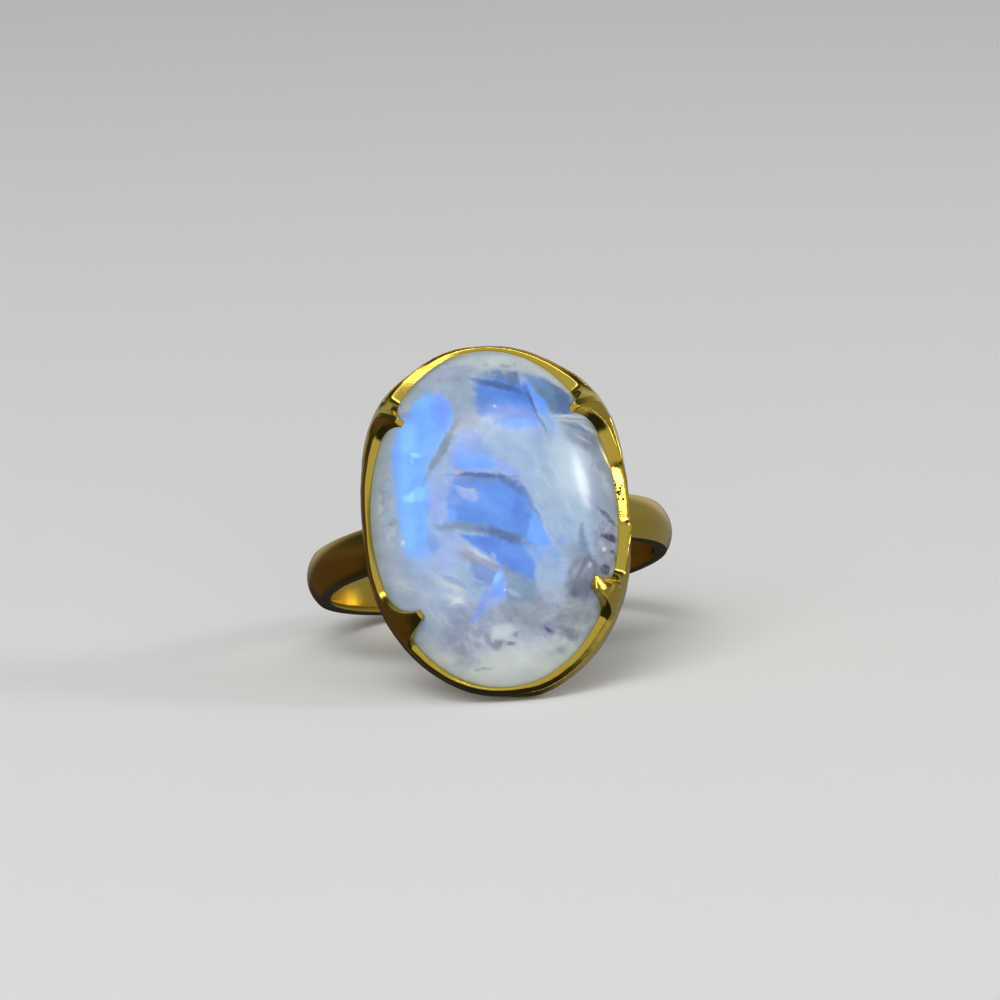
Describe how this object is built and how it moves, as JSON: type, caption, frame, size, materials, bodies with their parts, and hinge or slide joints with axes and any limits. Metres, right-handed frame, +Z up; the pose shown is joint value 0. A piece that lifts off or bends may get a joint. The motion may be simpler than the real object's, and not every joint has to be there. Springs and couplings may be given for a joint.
{
  "type": "gemstone ring",
  "caption": "Finger ring with a plain domed band and an oval cabochon in a low scalloped cup with thorn-shaped claws, lying on its side.",
  "frame": {"origin": "centre of the finger hole: on the hole's axis, at the middle of the band's width", "axes": "+Z up as the ring lies on its side; the stone faces -Y and a little up; +X is to the right of someone facing the stone"},
  "size_m": [0.0202, 0.0243, 0.0176],
  "materials": {
    "gold": "polished",
    "moonstone": "polished"
  },
  "bodies": {
    "root": {"mount": "gold", "moonstone": "moonstone"}
  },
  "joints": []
}
